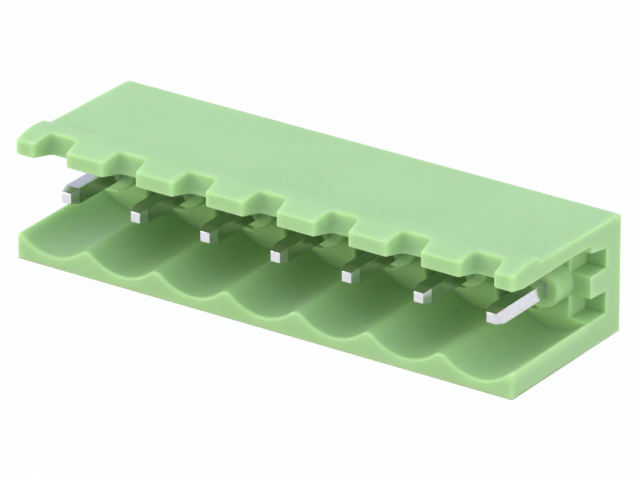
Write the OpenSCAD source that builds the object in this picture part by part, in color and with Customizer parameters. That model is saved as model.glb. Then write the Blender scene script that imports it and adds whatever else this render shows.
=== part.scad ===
// Board-side header of a pluggable terminal block: seven poles, open ends, straight solder tails.
// It lies on the outer face of its scalloped wall. +X runs along the row of pins, the mouth opens
// towards -Y, the solder tails point towards +Y and +Z goes from the scalloped wall to the plain one.
// The origin is under the middle of the whole part, in the plane of the face that it lies on.

/* [Row] */
// Distance from pin to pin
pitch = 5.08; // [4.8:0.01:7.62]

/* [Housing] */
// Depth of the mouth, from its face to the blocks that carry the pins
mouth_depth = 8.3; // [7.5:0.1:10]
// Height of the mouth, from the tops of the ridges to the plain wall
mouth_height = 4.91; // [4.4:0.01:6]
// Thickness of the scalloped wall at its ridges
ridge_height = 1.74; // [1.4:0.01:2.6]
// Thickness of the plain wall at the board face
wall_thickness = 0.93; // [0.6:0.01:1.6]
// Draft of the plain wall: how much it thickens up to the lip
wall_draft = 0.19; // [0:0.01:0.5]
// Thickness of the base behind the pockets
base_thickness = 1.56; // [1:0.01:3]
// Radius of the long edges of the face that it lies on
edge_radius = 0.08; // [0.02:0.01:0.4]

/* [Lip] */
// Depth of the lip along the plain wall
lip_length = 2.9; // [2.2:0.01:4]
// Height of the lip's crown over the plain wall
lip_rise = 0.4; // [0.2:0.01:1]
// Radius of the crown
crown_radius = 5.2; // [4:0.1:12]
// Distance of the crown's highest line from the mouth face
crown_setback = 1.9; // [1.2:0.01:2]
// Radius of the lip's nose
nose_radius = 0.14; // [0.05:0.01:0.6]
// Depth of the lead-in under the lip
lead_in_depth = 1.2; // [0.4:0.01:2]
// Height of the lead-in under the lip
lead_in_height = 0.23; // [0.05:0.01:0.4]

/* [Notches] */
// Width of the notch over each pin, at the mouth face
notch_width = 2.34; // [2:0.01:3]
// Width of the notch at its back
notch_back_width = 2; // [1.5:0.01:2]
// Depth of the notch
notch_depth = 1.42; // [1:0.01:2]
// Radius of the notch's inner corners
notch_corner_radius = 0.3; // [0.1:0.01:0.5]
// Radius of the corners where a notch meets the mouth face
finger_corner_radius = 0.15; // [0.02:0.01:0.3]

/* [Scallops] */
// Radius of the hollow under each pin, about the pin's own axis
scallop_radius = 3.26; // [2.6:0.01:3.35]

/* [Pin blocks] */
// Width of the block that holds each pin
block_width = 2.32; // [1.8:0.01:3]
// Radius of the collar round each pin
collar_radius = 1.28; // [0.9:0.01:1.6]
// Length of the collar in front of its block
collar_length = 1.58; // [0.5:0.01:3]
// Rounding of the collar's rim
collar_rim_radius = 0.18; // [0.02:0.01:0.3]

/* [Pockets] */
// Depth of the pockets between the blocks
pocket_depth = 1.8; // [1:0.01:3]
// Height of the lower pocket, from the ridges to the rib
lower_pocket_height = 1.5; // [1.1:0.01:1.8]
// Height of the rib that divides the pockets
rib_height = 1.42; // [0.8:0.01:2]
// How far the underside of the rib comes down towards the back
rib_slope = 0.1; // [0:0.01:0.4]
// Height of the lintel between the upper pocket and the plain wall
lintel_height = 0.46; // [0.2:0.01:1]
// How far the underside of the lintel comes down towards the back
lintel_slope = 0.29; // [0:0.01:0.4]
// Distance of the rib and the lintel behind the face of the blocks
rib_setback = 0.12; // [0:0.01:0.5]

/* [Pins] */
// Side of the square pin
pin_size = 1; // [0.8:0.01:1.2]
// Height of the pin's axis over the ridges
pin_rise = 2.26; // [2.1:0.01:2.4]
// Distance of the pin's tip behind the mouth face
pin_setback = 1.6; // [0.5:0.01:3]
// Length of the tapered tip in the mouth
tip_length = 0.82; // [0.3:0.01:1.5]
// Side of the tip's flat end, in the mouth and on the board side
tip_size = 0.66; // [0.4:0.01:0.75]
// Length of the solder tail behind the board face
tail_length = 3.4; // [2.5:0.1:5]
// Length of the tail's tapered end
tail_tip_length = 0.5; // [0.2:0.01:1]
// Gap between the pin and each side of its hole: 0 is a press fit
pin_hole_clearance = 0; // [0:0.01:0.05]

/* [Hidden] */

poles = 7;
overshoot = 1;
arc_facets = 96;
corner_facets = 32;
notch_facets = 6;

row_length = poles * pitch;
pocket_width = pitch - block_width;
housing_depth = mouth_depth + pocket_depth + base_thickness;
overall_depth = housing_depth + tail_length;

pin_axis = ridge_height + pin_rise;
ceiling = ridge_height + mouth_height;
wall_top_back = ceiling + wall_thickness;
wall_top_front = wall_top_back + wall_draft;
lip_top = wall_top_front + lip_rise;

// The nose is an arc that touches the mouth face and the inside of the crown's arc.
crown_centre = lip_top - crown_radius;
nose_reach = crown_setback - nose_radius;
nose_centre = crown_centre + sqrt(pow(crown_radius - nose_radius, 2) - pow(nose_reach, 2));
nose_end = crown_setback - nose_reach * crown_radius / (crown_radius - nose_radius);

// In plan the side of a notch moves in by the taper for each millimetre of depth. Its corners
// are arcs that touch the slanted side: one inside the notch, one inside the finger beside it.
notch_taper = (notch_width - notch_back_width) / (2 * notch_depth);
notch_start = atan(notch_taper);
notch_step = (90 - notch_start) / notch_facets;
notch_corner = [
    notch_side(notch_depth - notch_corner_radius) - notch_corner_radius / cos(notch_start),
    notch_depth - notch_corner_radius
];
finger_corner = [
    notch_side(finger_corner_radius) + finger_corner_radius / cos(notch_start),
    finger_corner_radius
];

function notch_side(depth) = notch_width / 2 - notch_taper * depth;
function pole_x(index) = (index - (poles - 1) / 2) * pitch;
function boundary_x(index) = (index - poles / 2) * pitch;

// Moves a shape drawn from the mouth face into the part's own frame.
module in_frame() {
    translate([0, -overall_depth / 2, 0]) children();
}

// Extrudes a side view, drawn as depth by height, along the row.
module along_row(length) {
    rotate([90, 0, 90]) linear_extrude(length, center = true) children();
}

// Extrudes a front view, drawn as row by height, from one depth to another.
module along_depth(from, to) {
    translate([0, to, 0]) rotate([90, 0, 0]) linear_extrude(to - from) children();
}

module at_poles() {
    for (index = [0 : poles - 1]) translate([pole_x(index), 0, 0]) children();
}

module at_boundaries() {
    for (index = [0 : poles]) translate([boundary_x(index), 0, 0]) children();
}

// What a rounded corner takes away from a square one that points towards -X, -Y.
module corner_waste(radius) {
    difference() {
        translate([-overshoot, -overshoot]) square(radius + overshoot);
        translate([radius, radius]) circle(radius, $fn = corner_facets);
    }
}

module lip_profile() {
    intersection() {
        translate([crown_setback, crown_centre]) circle(crown_radius, $fn = 2 * arc_facets);
        union() {
            translate([0, ceiling]) square([lip_length, nose_centre - ceiling]);
            translate([nose_radius, nose_centre]) circle(nose_radius, $fn = corner_facets);
            translate([nose_end, ceiling]) square([lip_length - nose_end, lip_top - ceiling]);
        }
    }
}

module wall_profile() {
    polygon([
        [0, 0], [housing_depth, 0], [housing_depth, wall_top_back],
        [lip_length, wall_top_front], [lip_length, ceiling], [0, ceiling]
    ]);
}

module outer_profile() {
    difference() {
        union() {
            wall_profile();
            lip_profile();
        }
        corner_waste(edge_radius);
        translate([housing_depth, 0]) rotate(90) corner_waste(edge_radius);
    }
}

module mouth_profile() {
    polygon([
        [-overshoot, ridge_height], [mouth_depth, ridge_height], [mouth_depth, ceiling],
        [lead_in_depth, ceiling], [0, ceiling + lead_in_height], [-overshoot, ceiling + lead_in_height]
    ]);
}

module pocket_profile() {
    back = mouth_depth + pocket_depth;
    front = mouth_depth + rib_setback;
    rib_bottom = ridge_height + lower_pocket_height;
    rib_top = rib_bottom + rib_height;
    lintel_bottom = ceiling - lintel_height;
    polygon([
        [mouth_depth - overshoot, ridge_height], [back, ridge_height], [back, rib_bottom - rib_slope],
        [front, rib_bottom], [front, rib_top], [back, rib_top], [back, lintel_bottom - lintel_slope],
        [front, lintel_bottom], [front, ceiling], [mouth_depth - overshoot, ceiling]
    ]);
}

// The hollow stops at the ridges, where the open mouth begins.
module scallop() {
    along_depth(-overshoot, mouth_depth) intersection() {
        translate([0, pin_axis]) circle(scallop_radius, $fn = arc_facets);
        translate([-pitch / 2, 0]) square([pitch, ridge_height + pin_rise / 2]);
    }
}

// An arc about a corner's centre, from the slanted side's normal round to the row's normal.
function notch_arc(centre, radius) = [
    for (index = [0 : notch_facets])
        centre + radius * [cos(notch_start + index * notch_step), sin(notch_start + index * notch_step)]
];

module notch_plan() {
    face_arc = notch_arc(finger_corner, -finger_corner_radius);
    back_arc = notch_arc(notch_corner, notch_corner_radius);
    face_line = [[finger_corner.x, -overshoot]];
    right = concat(face_line, [for (index = [notch_facets : -1 : 0]) face_arc[index]], back_arc);
    left = [for (index = [len(right) - 1 : -1 : 0]) [-right[index].x, right[index].y]];
    polygon(concat(right, left));
}

module notch() {
    translate([0, 0, pin_axis]) linear_extrude(lip_top - pin_axis + overshoot) notch_plan();
}

// A disc with a rounded rim that reaches back into its block.
module collar() {
    length = collar_length + rib_setback;
    translate([0, mouth_depth + rib_setback, pin_axis]) rotate([90, 0, 0])
        rotate_extrude($fn = arc_facets) difference() {
            square([collar_radius, length]);
            translate([collar_radius, length]) rotate(180) corner_waste(collar_rim_radius);
        }
}

module pin_hole() {
    side = pin_size + 2 * pin_hole_clearance;
    along_depth(mouth_depth - collar_length - overshoot, housing_depth + overshoot)
        translate([0, pin_axis]) square(side, center = true);
}

module housing() {
    color([0.6, 0.8, 0.55]) in_frame() difference() {
        union() {
            difference() {
                along_row(row_length) outer_profile();
                along_row(row_length + 2 * overshoot) mouth_profile();
                at_boundaries() along_row(pocket_width) pocket_profile();
                at_poles() scallop();
                at_poles() notch();
            }
            at_poles() collar();
        }
        at_poles() pin_hole();
    }
}

// Length of the pin by its width, with both ends tapered.
module pin_profile() {
    start = pin_setback;
    end = overall_depth;
    body = pin_size / 2;
    tip = tip_size / 2;
    polygon([
        [start, -tip], [start + tip_length, -body], [end - tail_tip_length, -body], [end, -tip],
        [end, tip], [end - tail_tip_length, body], [start + tip_length, body], [start, tip]
    ]);
}

module pin(index) {
    color([0.82, 0.81, 0.85]) in_frame() translate([pole_x(index), 0, pin_axis]) intersection() {
        rotate([90, 0, 90]) linear_extrude(pin_size, center = true) pin_profile();
        rotate(90) linear_extrude(pin_size, center = true) pin_profile();
    }
}

module pin_1() { pin(0); }
module pin_2() { pin(1); }
module pin_3() { pin(2); }
module pin_4() { pin(3); }
module pin_5() { pin(4); }
module pin_6() { pin(5); }
module pin_7() { pin(6); }

housing();
pin_1();
pin_2();
pin_3();
pin_4();
pin_5();
pin_6();
pin_7();
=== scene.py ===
"""Board-side header of a pluggable terminal block: square pins in one scalloped green moulding.

The moulding is worked out as a rounded solid, one pole at a time: a middle pole and an end pole are
meshed once, and Geometry Nodes set them in a row. The pins are drawn wire with tapered ends.
Sizes below are in millimetres, measured from the mouth face, the rest face and the nearest pin's axis.
"""

import itertools
import math

import bmesh
import bpy
import numpy as np
from mathutils import Matrix, Vector


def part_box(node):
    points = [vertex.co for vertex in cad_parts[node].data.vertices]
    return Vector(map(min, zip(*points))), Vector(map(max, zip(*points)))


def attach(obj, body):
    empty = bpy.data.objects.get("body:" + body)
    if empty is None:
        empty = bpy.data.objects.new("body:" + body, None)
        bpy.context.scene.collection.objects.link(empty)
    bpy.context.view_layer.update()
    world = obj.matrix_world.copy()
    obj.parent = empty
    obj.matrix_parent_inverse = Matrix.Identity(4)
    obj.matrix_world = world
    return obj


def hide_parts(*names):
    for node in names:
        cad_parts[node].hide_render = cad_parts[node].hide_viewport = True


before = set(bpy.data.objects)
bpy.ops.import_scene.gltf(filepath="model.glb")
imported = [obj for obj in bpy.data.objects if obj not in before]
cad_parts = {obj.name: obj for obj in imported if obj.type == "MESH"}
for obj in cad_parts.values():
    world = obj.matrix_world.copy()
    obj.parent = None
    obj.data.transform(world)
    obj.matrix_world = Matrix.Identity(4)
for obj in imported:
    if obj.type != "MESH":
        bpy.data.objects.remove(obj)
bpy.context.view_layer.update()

MM = 0.001

# ---------------------------------------------------------------- sizes taken from the frame

housing_low, housing_high = (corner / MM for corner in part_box("housing"))
pin_low, pin_high = (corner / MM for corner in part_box("pin_1"))
second_pin_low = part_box("pin_2")[0] / MM

PIN_NODES = sorted(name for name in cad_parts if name.startswith("pin_"))
POLES = len(PIN_NODES)
PITCH = second_pin_low.x - pin_low.x
ROW_LENGTH = POLES * PITCH
MOUTH_Y = housing_low.y
DEPTH = housing_high.y - housing_low.y
LIP_TOP = housing_high.z
PIN_SIDE = pin_high.x - pin_low.x
PIN_AXIS = (pin_low.z + pin_high.z) / 2
PIN_START = pin_low.y - MOUTH_Y
PIN_END = pin_high.y - MOUTH_Y

# ---------------------------------------------------------------- sizes of the moulding

RIDGE = 1.74              # top of the ridges, and floor of the lower pockets
RIDGE_DRAFT = 0.08        # how much lower the ridges are at the mouth face
RIDGE_ROUND = 0.12        # rounding of the ridges' long edges
CEILING = 6.65            # underside of the plain wall
WALL_BACK = 7.58          # top of the plain wall at the board face
WALL_FRONT = 7.77         # top of the plain wall at the lip
MOUTH_DEPTH = 8.3         # from the mouth face to the faces of the pin blocks
LEAD_IN = 1.2             # depth of the slope under the lip's nose
LEAD_IN_HEIGHT = 0.23     # how far that slope rises towards the mouth face
LIP_LENGTH = 2.9          # from the mouth face to the back of the raised lip
LIP_BACK_RADIUS = 0.2     # rounding of the lip's back edge
CROWN_RADIUS = 5.2        # radius of the lip's crown
CROWN_SETBACK = 1.9       # from the mouth face to the crown's highest line
NOSE_RADIUS = 0.14        # rounding of the upper edges at the mouth and board faces
NOTCH_HALF = 1.17         # half the notch's width at the mouth face
NOTCH_TAPER = 0.12        # how fast each side of the notch closes in
NOTCH_DEPTH = 1.42        # from the mouth face to the notch's back
NOTCH_CORNER = 0.3        # rounding of the notch's inner corners
SCALLOP_RADIUS = 3.26     # radius of the scallops about the pins' axes
BLOCK_HALF = 1.16         # half the width of a pin block
COLLAR_RADIUS = 1.34      # radius of the collars about the pins' axes
COLLAR_LENGTH = 1.58      # how far the collars stand out of the pin blocks
COLLAR_RIM = 0.22         # rounding of the collars' rims
RIB_SETBACK = 0.12        # from the faces of the pin blocks to the rib's front
RIB_BOTTOM = 3.24         # underside of the rib at its front
RIB_TOP = 4.66            # top of the rib
RIB_SLOPE = 0.1           # how far the underside of the rib comes down towards the back
LINTEL = 6.19             # underside of the lintel at its front
LINTEL_SLOPE = 0.29       # how far the underside of the lintel comes down towards the back
POCKET_END = 10.1         # from the mouth face to the backs of the pockets
EDGE = 0.15               # rounding of the edges round the mouth
CRISP = 0.06              # rounding of the edges round the pockets and the base
FOOT = 0.05               # rounding of the edges round the rest face
RIM = 0.18                # rounding of the scallops' rims at the mouth
UNDERSIDE = 0.08          # rounding of the lip's lower edges
FILLET = 0.08             # rounding of the inner corners
END_CHANGE = 2.0          # depth over which the end faces' rounding turns from EDGE into CRISP

# ---------------------------------------------------------------- sizes of the pins

PIN_TIP_SIDE = 0.68       # side of the square at the end of the tip
PIN_TIP_LENGTH = 0.68     # length of the tip's taper
PIN_TAIL_SIDE = 0.64      # side of the square at the end of the tail
PIN_TAIL_TIP_LENGTH = 0.5  # length of the tail's taper
PIN_ROUND = 0.03          # rounding of the wire's edges and ends

# ---------------------------------------------------------------- rounded solids as distance fields


def join(a, b, fillet=0.0):
    """Both solids, with a fillet where they meet."""
    return np.maximum(fillet, np.minimum(a, b)) - np.hypot(
        np.maximum(fillet - a, 0), np.maximum(fillet - b, 0))


def common(a, b, rounding=0.0):
    """What two solids share, with its edges rounded."""
    return -join(-a, -b, rounding)


def carve(solid, hollow, rounding=0.0):
    """The solid without the hollow, with the hollow's rim rounded."""
    return common(solid, -hollow, rounding)


def slab(value, low, high):
    """What lies between two parallel planes."""
    return np.maximum(low - value, value - high)


def moulding(x, y, z):
    """Distance to the housing's surface: negative in the plastic. y starts at the mouth face."""
    from_pin = np.abs((x + ROW_LENGTH / 2) % PITCH - PITCH / 2)
    from_axis = np.hypot(from_pin, z - PIN_AXIS)

    draft = math.atan2(WALL_FRONT - WALL_BACK, DEPTH - LIP_LENGTH)
    wall_top = (z - WALL_BACK) * math.cos(draft) + (y - DEPTH) * math.sin(draft)
    crown = np.hypot(y - CROWN_SETBACK, z - (LIP_TOP - CROWN_RADIUS)) - CROWN_RADIUS
    lip = common(np.maximum(crown, CEILING - z), y - LIP_LENGTH, LIP_BACK_RADIUS)
    outline = join(np.maximum(-z, wall_top), lip, FILLET)
    body = common(outline, slab(y, 0, DEPTH), np.where(z > PIN_AXIS, NOSE_RADIUS, FOOT))

    ceiling = z - CEILING - np.maximum(0, (LEAD_IN - y) * LEAD_IN_HEIGHT / LEAD_IN)
    scallop = np.maximum(from_axis - SCALLOP_RADIUS, z - PIN_AXIS)
    ridge_top = RIDGE - RIDGE_DRAFT * np.clip(1 - y / MOUTH_DEPTH, 0, 1)
    section = join(np.maximum(ridge_top - z, ceiling), scallop, RIDGE_ROUND)
    rib_face = MOUTH_DEPTH + RIB_SETBACK
    inward = np.clip((y - rib_face) / (POCKET_END - rib_face), 0, 1)
    low_pocket = np.maximum(y - POCKET_END, slab(z, RIDGE, RIB_BOTTOM - RIB_SLOPE * inward))
    high_pocket = np.maximum(y - POCKET_END, slab(z, RIB_TOP, LINTEL - LINTEL_SLOPE * inward))
    step = np.maximum(y - rib_face, RIDGE - z)
    recess = join(step, np.minimum(low_pocket, high_pocket), CRISP)
    beside = common(recess, BLOCK_HALF - from_pin, FILLET)
    depth = join(y - MOUTH_DEPTH, beside, EDGE)
    hollow = common(section, depth, FILLET * np.clip((RIDGE - z) / FILLET, 0, 1))
    body = carve(body, hollow, np.where(z > PIN_AXIS, UNDERSIDE, RIM))

    side = (from_pin - NOTCH_HALF + y * NOTCH_TAPER) / math.hypot(1, NOTCH_TAPER)
    notch = common(side, y - NOTCH_DEPTH, NOTCH_CORNER)
    body = carve(body, np.maximum(notch, PIN_AXIS - z), EDGE)

    collar = common(from_axis - COLLAR_RADIUS, MOUTH_DEPTH - COLLAR_LENGTH - y, COLLAR_RIM)
    body = join(body, np.maximum(collar, y - rib_face), FILLET)
    end_rounding = np.interp(y, [MOUTH_DEPTH - END_CHANGE, MOUTH_DEPTH], [EDGE, CRISP])
    return common(body, np.abs(x) - ROW_LENGTH / 2, np.where(z < FOOT, FOOT, end_rounding))


def slope(field, points):
    """Direction in which the field grows fastest at each point, and how fast."""
    step = 1e-4
    parts = []
    for axis in range(3):
        shift = np.zeros(3)
        shift[axis] = step
        ahead, behind = (points + shift).T, (points - shift).T
        parts.append((field(*ahead) - field(*behind)) / (2 * step))
    return np.stack(parts, axis=1)


# ---------------------------------------------------------------- a grid that is close at the edges

CLOSE = 0.03              # distance between the grid lines beside a face
CLOSE_LINES = 4           # how many lines lie that close on each side of a face
FINE = 0.07               # grid step across the row and upwards
SHAPED = 0.1              # grid step along the pins, where the section changes
PLAIN = 0.4               # grid step along the pins, past the collars and the pockets
STRAIGHT = 0.6            # grid step along the pins, in the straight part of the scallops
WELD = CLOSE / 20         # corners nearer than this are one corner
FLAT = math.radians(0.3)  # faces that turn less than this from each other are one face
SETTLING_STEPS = 4        # how often each corner is moved onto the true surface
GENTLEST = 0.25           # smallest squared slope used for such a move


def between(faces, coarse):
    """Grid lines between faces, close together beside each face and never on one."""
    lines = []
    for (start, end), step in zip(zip(faces[:-1], faces[1:]), coarse):
        rows = max(1, min(CLOSE_LINES, int((end - start) / (2 * CLOSE))))
        near = CLOSE * (np.arange(rows) + 0.5)
        inner = end - start - 2 * near[-1]
        parts = max(1, math.ceil(inner / step))
        lines.append(start + near[:-1])
        lines.append(np.linspace(start + near[-1], end - near[-1], parts + 1))
        lines.append((end - near[:-1])[::-1])
    return np.concatenate(lines)


def surface_net(field, xs, ys, zs):
    """Corners and quads of the field's zero surface: one corner in each grid cell it passes through."""
    values = field(*np.meshgrid(xs, ys, zs, indexing="ij"))
    inside = values < 0
    cells = tuple(n - 1 for n in inside.shape)
    filled = sum(
        inside[i:i + cells[0], j:j + cells[1], k:k + cells[2]].astype(np.int8)
        for i, j, k in itertools.product((0, 1), repeat=3))
    crossed = (filled > 0) & (filled < 8)
    number = np.full(cells, -1)
    number[crossed] = np.arange(crossed.sum())
    total = np.zeros((crossed.sum(), 3))
    hits = np.zeros(crossed.sum())
    lines = (xs, ys, zs)
    quads = []
    for axis in range(3):
        near = [slice(None)] * 3
        far = [slice(None)] * 3
        near[axis], far[axis] = slice(None, -1), slice(1, None)
        a, b = values[tuple(near)], values[tuple(far)]
        edges = np.argwhere((a < 0) != (b < 0))
        side, up = (axis + 1) % 3, (axis + 2) % 3
        start, end = a[tuple(edges.T)], b[tuple(edges.T)]
        share = start / (start - end)
        points = np.stack([lines[n][edges[:, n]] for n in range(3)], axis=1)
        points[:, axis] += share * (lines[axis][edges[:, axis] + 1] - lines[axis][edges[:, axis]])
        ring = []
        whole = np.ones(len(edges), bool)
        for ds, du in ((-1, -1), (0, -1), (0, 0), (-1, 0)):
            cell = edges.copy()
            cell[:, side] += ds
            cell[:, up] += du
            there = ((cell >= 0) & (cell < cells)).all(axis=1)
            whole &= there
            index = np.where(there, number[tuple(np.clip(cell, 0, np.array(cells) - 1).T)], 0)
            np.add.at(total, index[there], points[there])
            np.add.at(hits, index[there], 1)
            ring.append(index)
        ring = np.stack(ring, axis=1)
        leaving = start < 0
        quads.append(np.where(leaving[:, None], ring, ring[:, ::-1])[whole])
    corners = total / hits[:, None]
    for _ in range(SETTLING_STEPS):
        gradient = slope(field, corners)
        size = np.maximum((gradient ** 2).sum(axis=1), GENTLEST)
        corners -= gradient * (field(*corners.T) / size)[:, None]
    return corners, np.concatenate(quads)


# ---------------------------------------------------------------- pieces


def link(name, mesh):
    """A piece at the origin of the scene, with its place in its mesh."""
    piece = bpy.data.objects.new(name, mesh)
    bpy.context.scene.collection.objects.link(piece)
    return piece


def pole_cell(name, at_end):
    """One pole of the housing, about its own pin's axis. The last pole is closed by the end face."""
    half = PITCH / 2
    centre = ROW_LENGTH / 2 - half if at_end else (POLES % 2 - 1) * half

    def field(x, y, z):
        return moulding(x + centre, y, z)

    x_faces = [-half, -BLOCK_HALF, BLOCK_HALF, half]
    y_faces = [0, NOTCH_DEPTH, LIP_LENGTH, MOUTH_DEPTH - COLLAR_LENGTH, MOUTH_DEPTH,
               MOUTH_DEPTH + RIB_SETBACK, POCKET_END, DEPTH]
    z_faces = [0, RIDGE, RIB_BOTTOM, PIN_AXIS, RIB_TOP, LINTEL, CEILING, WALL_BACK, LIP_TOP]
    xs = between(x_faces, [FINE] * (len(x_faces) - 1))
    ys = between(y_faces, [SHAPED, SHAPED, STRAIGHT, PLAIN, SHAPED, PLAIN, PLAIN])
    zs = between(z_faces, [FINE] * (len(z_faces) - 1))
    xs = np.concatenate([[-half - CLOSE / 2], xs, [half + CLOSE / 2]])
    ys = np.concatenate([[-CLOSE / 2], ys, [DEPTH + CLOSE / 2]])
    zs = np.concatenate([[-CLOSE / 2], zs, [LIP_TOP + CLOSE / 2]])
    corners, quads = surface_net(field, xs, ys, zs)
    seams = (-half,) if at_end else (-half, half)
    on_seam = np.zeros(len(corners), bool)
    for seam in seams:
        near = np.abs(corners[:, 0] - seam) < CLOSE / 4
        corners[near, 0] = seam
        on_seam |= near
    mesh = bpy.data.meshes.new(name)
    mesh.from_pydata(corners.tolist(), [], quads.tolist())
    shape = bmesh.new()
    shape.from_mesh(mesh)
    bmesh.ops.dissolve_limit(
        shape, angle_limit=FLAT,
        verts=[v for v, kept in zip(shape.verts, on_seam) if not kept],
        edges=[e for e in shape.edges if not e.is_boundary])
    shape.to_mesh(mesh)
    shape.free()
    return bpy.data.objects.new(name, mesh)


def new_tree(name, inputs):
    """A Geometry Nodes tree with named inputs, and its input and output nodes."""
    tree = bpy.data.node_groups.new(name, "GeometryNodeTree")
    tree.interface.new_socket("Geometry", in_out="INPUT", socket_type="NodeSocketGeometry")
    for label, kind in inputs:
        tree.interface.new_socket(label, in_out="INPUT", socket_type="NodeSocket" + kind)
    tree.interface.new_socket("Geometry", in_out="OUTPUT", socket_type="NodeSocketGeometry")
    return tree, tree.nodes.new("NodeGroupInput"), tree.nodes.new("NodeGroupOutput")


def finish_tree(tree, shapes, given, result):
    """Joins the shapes, and ends the tree in Realize Instances and Set Material."""
    together = tree.nodes.new("GeometryNodeJoinGeometry")
    real = tree.nodes.new("GeometryNodeRealizeInstances")
    finish = tree.nodes.new("GeometryNodeSetMaterial")
    for shape in shapes:
        tree.links.new(shape, together.inputs["Geometry"])
    tree.links.new(together.outputs["Geometry"], real.inputs["Geometry"])
    tree.links.new(real.outputs["Geometry"], finish.inputs["Geometry"])
    tree.links.new(given.outputs["Material"], finish.inputs["Material"])
    tree.links.new(finish.outputs["Geometry"], result.inputs["Geometry"])


def grow(name, tree, settings, start=None):
    """Runs a tree on a start mesh and returns the plain mesh it makes."""
    holder = link(name + "_maker", start or bpy.data.meshes.new(name + "_start"))
    modifier = holder.modifiers.new("row", "NODES")
    modifier.node_group = tree
    sockets = {item.name: item.identifier for item in tree.interface.items_tree if item.in_out == "INPUT"}
    for label, value in settings.items():
        modifier[sockets[label]] = value
    holder.update_tag()
    bpy.context.view_layer.update()
    graph = bpy.context.evaluated_depsgraph_get()
    mesh = bpy.data.meshes.new_from_object(holder.evaluated_get(graph))
    mesh.name = name
    holder.modifiers.remove(modifier)
    bpy.data.objects.remove(holder)
    return mesh


def maths(tree, operation, *values):
    """The result of a Math node that works on sockets and plain numbers."""
    node = tree.nodes.new("ShaderNodeMath")
    node.operation = operation
    for socket, value in zip(node.inputs, values):
        if isinstance(value, (int, float)):
            socket.default_value = value
        else:
            tree.links.new(value, socket)
    return node.outputs[0]


def along_row(tree, distance):
    """The place at a distance along the row from its middle."""
    node = tree.nodes.new("ShaderNodeCombineXYZ")
    tree.links.new(distance, node.inputs["X"])
    return node.outputs[0]


def in_row(tree, given, piece):
    """Copies of a piece side by side about the row's middle, and the distance to the first one."""
    count = given.outputs["Count"]
    pitch = given.outputs["Pitch"]
    first = maths(tree, "MULTIPLY", maths(tree, "MULTIPLY_ADD", count, -0.5, 0.5), pitch)
    places = tree.nodes.new("GeometryNodeMeshLine")
    places.mode = "OFFSET"
    tree.links.new(count, places.inputs["Count"])
    tree.links.new(along_row(tree, first), places.inputs["Start Location"])
    tree.links.new(along_row(tree, pitch), places.inputs["Offset"])
    copies = tree.nodes.new("GeometryNodeInstanceOnPoints")
    tree.links.new(places.outputs["Mesh"], copies.inputs["Points"])
    tree.links.new(piece, copies.inputs["Instance"])
    return copies.outputs["Instances"], first


def row_tree():
    """Pole cells side by side, closed by an end cell and its mirror image."""
    tree, given, result = new_tree("pole_row", [
        ("Pole", "Object"),
        ("End", "Object"),
        ("Count", "Int"),
        ("Pitch", "Float"),
        ("Material", "Material")])
    pole = tree.nodes.new("GeometryNodeObjectInfo")
    tree.links.new(given.outputs["Pole"], pole.inputs["Object"])
    poles, first = in_row(tree, given, pole.outputs["Geometry"])
    end = tree.nodes.new("GeometryNodeObjectInfo")
    tree.links.new(given.outputs["End"], end.inputs["Object"])
    past_last = maths(tree, "SUBTRACT", given.outputs["Pitch"], first)
    right = tree.nodes.new("GeometryNodeTransform")
    tree.links.new(end.outputs["Geometry"], right.inputs["Geometry"])
    tree.links.new(along_row(tree, past_last), right.inputs["Translation"])
    left = tree.nodes.new("GeometryNodeTransform")
    left.inputs["Scale"].default_value = (-1, 1, 1)
    tree.links.new(right.outputs["Geometry"], left.inputs["Geometry"])
    finish_tree(tree, [poles, right.outputs["Geometry"], left.outputs["Geometry"]], given, result)
    return tree


def make_whole(mesh):
    """Merges doubled corners, points the faces outwards and shades them smooth."""
    shape = bmesh.new()
    shape.from_mesh(mesh)
    bmesh.ops.remove_doubles(shape, verts=shape.verts, dist=WELD)
    bmesh.ops.recalc_face_normals(shape, faces=shape.faces)
    shape.to_mesh(mesh)
    shape.free()
    mesh.polygons.foreach_set("use_smooth", [True] * len(mesh.polygons))


def into_frame(mesh):
    """Takes a mesh from millimetres behind the mouth face to the frame's metres."""
    mesh.transform(Matrix.Translation((0, MOUTH_Y * MM, 0)) @ Matrix.Scale(MM, 4))


def make_housing(material):
    """The moulding: pole cells in a row, shaded by the true surface's own directions."""
    middle = pole_cell("pole_cell", at_end=False)
    end = pole_cell("end_cell", at_end=True)
    mesh = grow("housing_shell", row_tree(), {
        "Pole": middle,
        "End": end,
        "Count": POLES - 2,
        "Pitch": PITCH,
        "Material": material})
    for cell in (middle, end):
        bpy.data.objects.remove(cell)
    make_whole(mesh)
    points = np.empty(len(mesh.vertices) * 3)
    mesh.vertices.foreach_get("co", points)
    normals = slope(moulding, points.reshape(-1, 3))
    normals /= np.linalg.norm(normals, axis=1)[:, None]
    into_frame(mesh)
    mesh.normals_split_custom_set_from_vertices(normals.tolist())
    return link("housing_shell", mesh)


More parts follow.
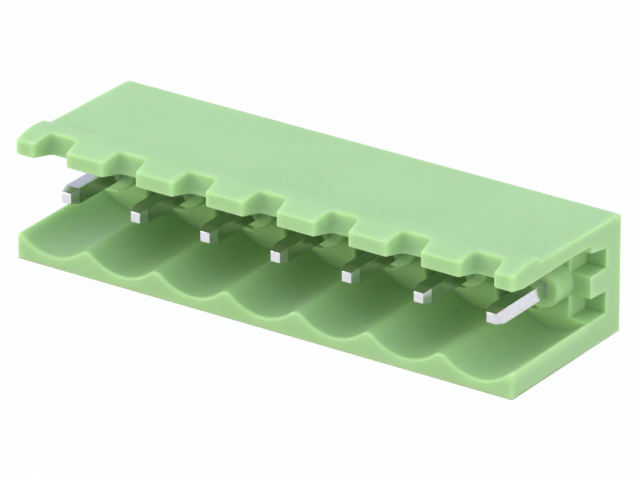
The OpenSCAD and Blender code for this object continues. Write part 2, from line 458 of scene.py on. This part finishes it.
def pin_tree():
    """Square wire swept along its stations, thinner where a station says so, and set in a row."""
    tree, given, result = new_tree("pin_row", [
        ("Count", "Int"),
        ("Pitch", "Float"),
        ("Side", "Float"),
        ("Corner Radius", "Float"),
        ("Material", "Material")])
    path = tree.nodes.new("GeometryNodeMeshToCurve")
    tree.links.new(given.outputs["Geometry"], path.inputs["Mesh"])
    share = tree.nodes.new("GeometryNodeInputNamedAttribute")
    share.data_type = "FLOAT"
    share.inputs["Name"].default_value = "share"
    square = tree.nodes.new("GeometryNodeCurvePrimitiveQuadrilateral")
    tree.links.new(given.outputs["Side"], square.inputs["Width"])
    tree.links.new(given.outputs["Side"], square.inputs["Height"])
    soft = tree.nodes.new("GeometryNodeFilletCurve")
    soft.mode = "POLY"
    soft.inputs["Count"].default_value = 3
    tree.links.new(square.outputs["Curve"], soft.inputs["Curve"])
    tree.links.new(given.outputs["Corner Radius"], soft.inputs["Radius"])
    pin = tree.nodes.new("GeometryNodeCurveToMesh")
    pin.inputs["Fill Caps"].default_value = True
    tree.links.new(path.outputs["Curve"], pin.inputs["Curve"])
    tree.links.new(soft.outputs["Curve"], pin.inputs["Profile Curve"])
    tree.links.new(share.outputs["Attribute"], pin.inputs["Scale"])
    pins, _ = in_row(tree, given, pin.outputs["Mesh"])
    finish_tree(tree, [pins], given, result)
    return tree


def rounded_end(end, inward, share):
    """Stations that round off an end of the wire: places along it, and shares of its full side."""
    stations = []
    for degrees in (90, 60, 30, 0):
        turn = math.radians(degrees)
        inset = PIN_ROUND * (1 - math.cos(turn))
        place = end + inward * PIN_ROUND * (1 - math.sin(turn))
        stations.append((place, share - 2 * inset / PIN_SIDE))
    return stations


def make_pins(material):
    """Drawn square wire: a tapered tip in the mouth, and a straight tail with a short tapered end."""
    taper_end = PIN_START + PIN_TIP_LENGTH
    tail_taper = PIN_END - PIN_TAIL_TIP_LENGTH
    stations = rounded_end(PIN_START, 1, PIN_TIP_SIDE / PIN_SIDE)
    stations += [(taper_end, 1), (tail_taper, 1)]
    stations += reversed(rounded_end(PIN_END, -1, PIN_TAIL_SIDE / PIN_SIDE))
    path = bpy.data.meshes.new("pin_stations")
    path.from_pydata([(0, y, PIN_AXIS) for y, share in stations],
                     [(n, n + 1) for n in range(len(stations) - 1)], [])
    share = path.attributes.new("share", "FLOAT", "POINT")
    share.data.foreach_set("value", [share for y, share in stations])
    mesh = grow("pin_row", pin_tree(), {
        "Count": POLES,
        "Pitch": PITCH,
        "Side": PIN_SIDE,
        "Corner Radius": PIN_ROUND,
        "Material": material}, path)
    make_whole(mesh)
    for edge in mesh.edges:
        ends = [mesh.vertices[n].co.y for n in edge.vertices]
        for crease in (taper_end, tail_taper):
            if max(abs(y - crease) for y in ends) < WELD:
                edge.use_edge_sharp = True
    into_frame(mesh)
    row = link("pin_row", mesh)
    facets = row.modifiers.new("facets", "WEIGHTED_NORMAL")
    facets.keep_sharp = True
    bpy.context.view_layer.update()
    row.data = bpy.data.meshes.new_from_object(row.evaluated_get(bpy.context.evaluated_depsgraph_get()))
    row.modifiers.remove(facets)
    return row


# ---------------------------------------------------------------- materials


def new_material(name):
    """An empty material with a Principled shader, and its Object coordinates."""
    material = bpy.data.materials.new(name)
    material.use_nodes = True
    tree = material.node_tree
    tree.nodes.clear()
    output = tree.nodes.new("ShaderNodeOutputMaterial")
    shader = tree.nodes.new("ShaderNodeBsdfPrincipled")
    tree.links.new(shader.outputs["BSDF"], output.inputs["Surface"])
    place = tree.nodes.new("ShaderNodeTexCoord").outputs["Object"]
    return material, tree, shader, place


def stretched(tree, place, scale):
    """Coordinates with a pattern's repeats per metre along each axis."""
    mapping = tree.nodes.new("ShaderNodeMapping")
    mapping.inputs["Scale"].default_value = scale
    tree.links.new(place, mapping.inputs["Vector"])
    return mapping.outputs["Vector"]


def noise(tree, place, scale, detail=2.0, roughness=0.5):
    """Soft random variation between 0 and 1, with its repeats per metre."""
    node = tree.nodes.new("ShaderNodeTexNoise")
    node.inputs["Scale"].default_value = scale
    node.inputs["Detail"].default_value = detail
    node.inputs["Roughness"].default_value = roughness
    tree.links.new(place, node.inputs["Vector"])
    return node.outputs["Fac"]


def spread(tree, value, low, high, new_low, new_high):
    """Maps a value from one range onto another, smoothly."""
    node = tree.nodes.new("ShaderNodeMapRange")
    node.interpolation_type = "SMOOTHSTEP"
    tree.links.new(value, node.inputs["Value"])
    for label, number in (("From Min", low), ("From Max", high), ("To Min", new_low), ("To Max", new_high)):
        node.inputs[label].default_value = number
    return node.outputs["Result"]


def blend(tree, share, first, second):
    """Mixes two colours, each a constant or a socket."""
    node = tree.nodes.new("ShaderNodeMix")
    node.data_type = "RGBA"
    tree.links.new(share, node.inputs["Factor"])
    colour_inputs = [socket for socket in node.inputs if socket.type == "RGBA"]
    for socket, colour in zip(colour_inputs, (first, second)):
        if isinstance(colour, tuple):
            socket.default_value = (*colour, 1)
        else:
            tree.links.new(colour, socket)
    return next(socket for socket in node.outputs if socket.type == "RGBA")


def relief(tree, height, strength, distance, under=None):
    """Surface relief of a height pattern, laid over another relief where one is given."""
    node = tree.nodes.new("ShaderNodeBump")
    node.inputs["Strength"].default_value = strength
    node.inputs["Distance"].default_value = distance
    tree.links.new(height, node.inputs["Height"])
    if under:
        tree.links.new(under, node.inputs["Normal"])
    return node.outputs["Normal"]


def thin_share(tree, reach):
    """How near the far side of the piece is: 0 on thick flats, rising towards outer edges and thin rims."""
    node = tree.nodes.new("ShaderNodeAmbientOcclusion")
    node.inside = True
    node.only_local = True
    node.samples = 6
    node.inputs["Distance"].default_value = reach
    return spread(tree, node.outputs["AO"], 0.35, 0.9, 1, 0)


def specks(tree, place):
    """Where the moulding has a dark speck: a few small dots, far apart."""
    cells = tree.nodes.new("ShaderNodeTexVoronoi")
    cells.inputs["Scale"].default_value = 900
    tree.links.new(place, cells.inputs["Vector"])
    pick = tree.nodes.new("ShaderNodeSeparateColor")
    tree.links.new(cells.outputs["Color"], pick.inputs["Color"])
    chosen = spread(tree, pick.outputs["Red"], 0.9, 0.92, 0, 1)
    dot = spread(tree, cells.outputs["Distance"], 0.03, 0.06, 0.5, 0)
    return maths(tree, "MULTIPLY", chosen, dot)


def make_plastic():
    """Slightly translucent green nylon, satin from the mould, with faint clouds, a few specks and a painted
    glow: paler green on thin rims and outer edges, standing for light shining through them.
    """
    deep_green = (0.355, 0.57, 0.225)
    pale_green = (0.375, 0.595, 0.245)
    painted_glow_green = (0.46, 0.67, 0.29)
    speck_green = (0.16, 0.25, 0.09)
    material, tree, shader, place = new_material("green_moulding")

    clouds = spread(tree, noise(tree, place, 160, 3), 0.3, 0.7, 0, 1)
    tone = blend(tree, clouds, deep_green, pale_green)
    # Painted glow: thin rims and outer edges are painted paler green, as if lit through.
    tone = blend(tree, thin_share(tree, 0.7 * MM), tone, painted_glow_green)
    tone = blend(tree, specks(tree, place), tone, speck_green)
    tree.links.new(tone, shader.inputs["Base Color"])

    satin = spread(tree, noise(tree, place, 2200, 2), 0.3, 0.7, 0.36, 0.44)
    tree.links.new(satin, shader.inputs["Roughness"])

    waves = relief(tree, noise(tree, place, 700, 2), 0.3, 0.01 * MM)
    drag_marks = noise(tree, stretched(tree, place, (6000, 6000, 400)), 1, 2)
    drawn = relief(tree, drag_marks, 0.3, 0.004 * MM, waves)
    grain = relief(tree, noise(tree, place, 9000, 2), 0.35, 0.003 * MM, drawn)
    tree.links.new(grain, shader.inputs["Normal"])

    shader.inputs["Specular IOR Level"].default_value = 0.3
    shader.inputs["Subsurface Weight"].default_value = 0.9
    shader.inputs["Subsurface Radius"].default_value = (0.6, 1.0, 0.3)
    shader.inputs["Subsurface Scale"].default_value = 0.7 * MM
    return material


def tip_shares(tree, place):
    """Where the pin is its coined tip, and where it is the upper side of the wire."""
    along = tree.nodes.new("ShaderNodeSeparateXYZ")
    tree.links.new(place, along.inputs["Vector"])
    tip_end = (MOUTH_Y + PIN_START + PIN_TIP_LENGTH) * MM
    coined = spread(tree, along.outputs["Y"], tip_end - PIN_ROUND * MM, tip_end + PIN_ROUND * MM, 1, 0)
    tip_top = PIN_AXIS + PIN_TIP_SIDE / 2
    upper = spread(tree, along.outputs["Z"], (tip_top - 0.04) * MM, (tip_top + 0.02) * MM, 0, 1)
    return coined, upper


def make_plating():
    """Bright tin on drawn wire: fine draw marks along the pin, cloudy where the tin pooled, and a painted
    reflection: the tip's upper facet is tinted a dull brownish tin, standing for the shaded lip above it.
    """
    thin_tin = (0.70, 0.70, 0.75)
    pooled_tin = (0.76, 0.76, 0.81)
    painted_reflection_tin = (0.68, 0.64, 0.56)
    bare_brass = (0.42, 0.33, 0.2)
    material, tree, shader, place = new_material("tin_plating")

    pools = spread(tree, noise(tree, place, 2600, 3, 0.6), 0.35, 0.65, 0, 1)
    coined, upper = tip_shares(tree, place)
    tone = blend(tree, pools, thin_tin, pooled_tin)
    # Painted reflection: the tip's upper facet is tinted dull brown, standing for the shaded lip it
    # mirrors.
    tone = blend(tree, maths(tree, "MULTIPLY", coined, upper), tone, painted_reflection_tin)
    worn = spread(tree, noise(tree, place, 5000, 2), 0.4, 0.6, 0, 1)
    bare = maths(tree, "MULTIPLY", thin_share(tree, 0.12 * MM), worn)
    tree.links.new(blend(tree, bare, tone, bare_brass), shader.inputs["Base Color"])

    coined_gloss = spread(tree, coined, 0, 1, 0, 0.28)
    drawn_gloss = spread(tree, pools, 0, 1, 0.1, 0.16)
    tree.links.new(maths(tree, "MAXIMUM", coined_gloss, drawn_gloss), shader.inputs["Roughness"])

    swells = relief(tree, noise(tree, place, 2600, 1), 0.05, 0.01 * MM)
    draw_marks = noise(tree, stretched(tree, place, (7000, 250, 7000)), 1, 2)
    drawn = relief(tree, draw_marks, 0.1, 0.003 * MM, swells)
    tree.links.new(drawn, shader.inputs["Normal"])

    shader.inputs["Metallic"].default_value = 1
    return material


plastic = make_plastic()
plating = make_plating()
housing = make_housing(plastic)
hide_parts("housing")
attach(housing, "root")
pins = make_pins(plating)
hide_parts(*PIN_NODES)
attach(pins, "root")

# ---------------------------------------------------------------- floor, light and camera


def make_floor():
    """White paper that looks almost plain white but still takes the part's soft shadow."""
    side = 3.0
    mesh = bpy.data.meshes.new("floor")
    corners = [(-side, -side, 0), (side, -side, 0), (side, side, 0), (-side, side, 0)]
    mesh.from_pydata(corners, [], [(0, 1, 2, 3)])
    floor = link("floor", mesh)
    material = bpy.data.materials.new("white_paper")
    material.use_nodes = True
    tree = material.node_tree
    tree.nodes.clear()
    output = tree.nodes.new("ShaderNodeOutputMaterial")
    paper = tree.nodes.new("ShaderNodeBsdfDiffuse")
    paper.inputs["Color"].default_value = (0.72, 0.72, 0.72, 1)
    white = tree.nodes.new("ShaderNodeEmission")
    white.inputs["Strength"].default_value = 1.0
    ray = tree.nodes.new("ShaderNodeLightPath")
    mirrored = maths(tree, "MAXIMUM", ray.outputs["Is Glossy Ray"], ray.outputs["Is Transmission Ray"])
    plain = maths(tree, "MULTIPLY_ADD", ray.outputs["Is Camera Ray"], 0.94, mirrored)
    mix = tree.nodes.new("ShaderNodeMixShader")
    tree.links.new(plain, mix.inputs["Fac"])
    tree.links.new(paper.outputs["BSDF"], mix.inputs[1])
    tree.links.new(white.outputs["Emission"], mix.inputs[2])
    tree.links.new(mix.outputs["Shader"], output.inputs["Surface"])
    mesh.materials.append(material)


def make_world():
    """Soft light from a room with a paler, cooler ceiling."""
    walls = (0.60, 0.63, 0.72)
    ceiling = (1.34, 1.36, 1.85)
    world = bpy.data.worlds.new("studio")
    world.use_nodes = True
    tree = world.node_tree
    tree.nodes.clear()
    output = tree.nodes.new("ShaderNodeOutputWorld")
    room = tree.nodes.new("ShaderNodeBackground")
    tree.links.new(room.outputs["Background"], output.inputs["Surface"])
    direction = tree.nodes.new("ShaderNodeSeparateXYZ")
    tree.links.new(tree.nodes.new("ShaderNodeTexCoord").outputs["Generated"], direction.inputs["Vector"])
    height = spread(tree, direction.outputs["Z"], 0.35, 0.8, 0, 1)
    tree.links.new(blend(tree, height, walls, ceiling), room.inputs["Color"])
    bpy.context.scene.world = world


def make_lamp(name, position, power, size, colour):
    """A soft lamp that points at the part."""
    data = bpy.data.lights.new(name, "AREA")
    data.energy = power
    data.size = size
    data.color = colour
    lamp = bpy.data.objects.new(name, data)
    bpy.context.scene.collection.objects.link(lamp)
    lamp.location = position
    lamp.rotation_euler = (-Vector(position)).to_track_quat("-Z", "Y").to_euler()


def make_camera():
    """A long lens, seen from the mouth's side, from the right and from above."""
    azimuth = math.radians(34.262)
    elevation = math.radians(24.295)
    aim = Vector((0.851, -2.468, 4.036)) * MM
    distance = 460.3 * MM
    back = Vector((
        math.sin(azimuth) * math.cos(elevation),
        -math.cos(azimuth) * math.cos(elevation),
        math.sin(elevation)))
    data = bpy.data.cameras.new("camera")
    data.sensor_width = 36
    data.lens = 435.94
    data.clip_start = 0.01
    camera = bpy.data.objects.new("camera", data)
    bpy.context.scene.collection.objects.link(camera)
    camera.location = aim + back * distance
    camera.rotation_euler = back.to_track_quat("Z", "Y").to_euler()
    bpy.context.scene.camera = camera


make_floor()
make_world()
make_lamp("front", (-0.52, -0.55, 0.13), 2.3, 0.3, (1.0, 0.93, 0.85))
make_lamp("right", (0.72, -0.12, 0.1), 1.7, 0.4, (1.0, 1.0, 1.05))
make_camera()
bpy.context.scene.view_settings.view_transform = "Standard"
